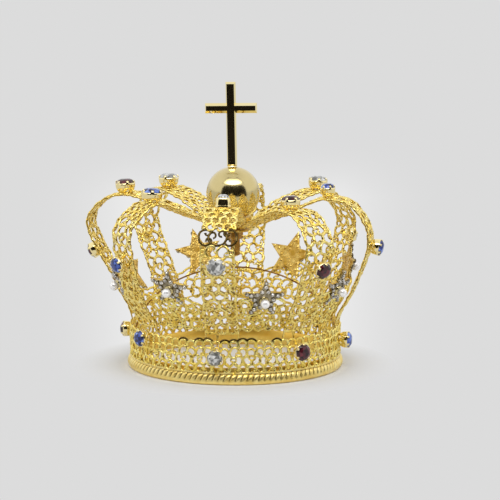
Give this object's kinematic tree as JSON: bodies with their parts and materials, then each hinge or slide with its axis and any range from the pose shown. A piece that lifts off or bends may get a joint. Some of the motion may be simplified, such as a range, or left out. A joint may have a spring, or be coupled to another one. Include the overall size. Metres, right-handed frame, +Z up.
{
  "type": "statue crown",
  "caption": "Closed filigree crown for a devotional statue: rope rim, openwork band and arches with set stones and stars, orb and cross on top.",
  "frame": {"origin": "centre of the rim's underside, on the surface the crown rests on", "axes": "+Z up through the stud and cross; -Y is the front, which the flat of the cross faces; +X to the viewer's right"},
  "size_m": [0.111, 0.112, 0.105],
  "materials": {
    "gilt": "bright gilt wirework",
    "gilt_polished": "mirror-polished gilt",
    "plain_brass": "plain gilt brass",
    "stone_clear": "faceted, foiled back",
    "stone_garnet": "faceted, foiled back",
    "stone_sapphire": "faceted, foiled back",
    "pearl": "pearl lustre"
  },
  "bodies": {
    "crown_frame": {"base_strip": "gilt", "rope_rim": "gilt", "band_filigree": "gilt", "gallery": "gilt", "arch_1": "gilt", "arch_2": "gilt", "arch_3": "gilt", "arch_4": "gilt", "arch_5": "gilt", "arch_6": "gilt", "arch_7": "gilt", "arch_8": "gilt", "star_1": "gilt", "star_2": "gilt", "star_3": "gilt", "star_4": "gilt", "star_5": "gilt", "star_6": "gilt", "star_7": "gilt", "star_8": "gilt", "hub_disc": "gilt", "washer": "plain_brass", "inner_hoop": "plain_brass", "band_stone_1": "stone_clear", "arch_stone_1": "stone_clear", "top_stone_1": "stone_clear", "pearl_1": "pearl", "band_stone_2": "stone_garnet", "arch_stone_2": "stone_garnet", "top_stone_2": "stone_garnet", "pearl_2": "pearl", "band_stone_3": "stone_sapphire", "arch_stone_3": "stone_sapphire", "top_stone_3": "stone_sapphire", "pearl_3": "pearl", "band_stone_4": "stone_clear", "arch_stone_4": "stone_clear", "top_stone_4": "stone_clear", "pearl_4": "pearl", "band_stone_5": "stone_garnet", "arch_stone_5": "stone_garnet", "top_stone_5": "stone_garnet", "pearl_5": "pearl", "band_stone_6": "stone_clear", "arch_stone_6": "stone_clear", "top_stone_6": "stone_clear", "pearl_6": "pearl", "band_stone_7": "stone_garnet", "arch_stone_7": "stone_garnet", "top_stone_7": "stone_garnet", "pearl_7": "pearl", "band_stone_8": "stone_sapphire", "arch_stone_8": "stone_sapphire", "top_stone_8": "stone_sapphire", "pearl_8": "pearl"},
    "finial": {"orb": "gilt_polished", "cross": "gilt_polished", "stud": "plain_brass", "nut": "plain_brass"}
  },
  "joints": [
    {"name": "finial_turn", "type": "hinge", "parent": "crown_frame", "child": "finial", "pos_m": [0, 0, 0.0523], "axis": [0, 0, 1], "continuous": true}
  ]
}
